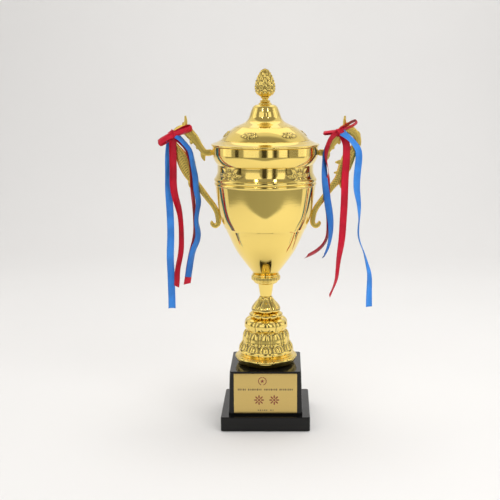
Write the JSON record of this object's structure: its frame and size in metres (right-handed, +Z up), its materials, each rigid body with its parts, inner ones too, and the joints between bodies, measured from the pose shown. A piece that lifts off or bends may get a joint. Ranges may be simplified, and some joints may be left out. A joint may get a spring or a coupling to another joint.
{
  "type": "cup trophy",
  "caption": "Two-handled presentation cup with a lift-off domed lid, turned stem, stepped square plinth with a name plate, and ribbons tied to the handles.",
  "frame": {"origin": "middle of the plinth's underside, on the surface that the trophy stands on", "axes": "+Z up along the cup's axis to the finial, -Y out of the plinth's face that carries the plate, +X to the right handle seen from the front"},
  "size_m": [0.306, 0.1508, 0.5005],
  "materials": {
    "gold": "mirror-polished gold plate, slightly yellow-green, lacquered",
    "gold_cast": "cast and gold plated, bright on the high spots, darker in the recesses",
    "plate": "thin anodised plate, brushed along its length, with a bright bevelled edge",
    "black": "black moulded plastic, semi-gloss",
    "steel": "zinc plated steel fastener",
    "stone": "cast plaster-cement weight",
    "board": "hardboard",
    "felt": "dark felt",
    "tape": "foam adhesive tape",
    "red_satin": "red satin ribbon",
    "blue_satin": "blue satin ribbon"
  },
  "bodies": {
    "cup": {"base_felt": "felt", "bottom_board": "board", "plinth_step": "black", "plinth_block": "black", "ballast": "stone", "name_plate": "plate", "plate_tape": "tape", "foot": "gold_cast", "stem_bell": "gold_cast", "stem_ring": "gold", "stem_knop": "gold_cast", "stem_neck": "gold", "bowl_collar": "gold_cast", "bowl": "gold", "rim_band": "gold", "handle_right": "gold_cast", "handle_left": "gold_cast", "handle_screws": "steel", "handle_washers": "steel", "tie_rod": "steel", "base_washer": "steel", "base_nut": "steel", "bowl_washer": "steel", "bowl_nut": "steel", "red_ribbon_left": "red_satin", "blue_ribbon_left": "blue_satin", "red_ribbon_right": "red_satin", "blue_ribbon_right": "blue_satin"},
    "lid": {"lid": "gold", "finial_neck": "gold_cast", "finial_bud": "gold_cast", "finial_stud": "steel", "lid_washer": "steel", "lid_nut": "steel"}
  },
  "joints": [
    {"name": "lid_lift", "type": "slide", "parent": "cup", "child": "lid", "axis": [0, 0, 1], "range_m": [0, 0.2]}
  ]
}
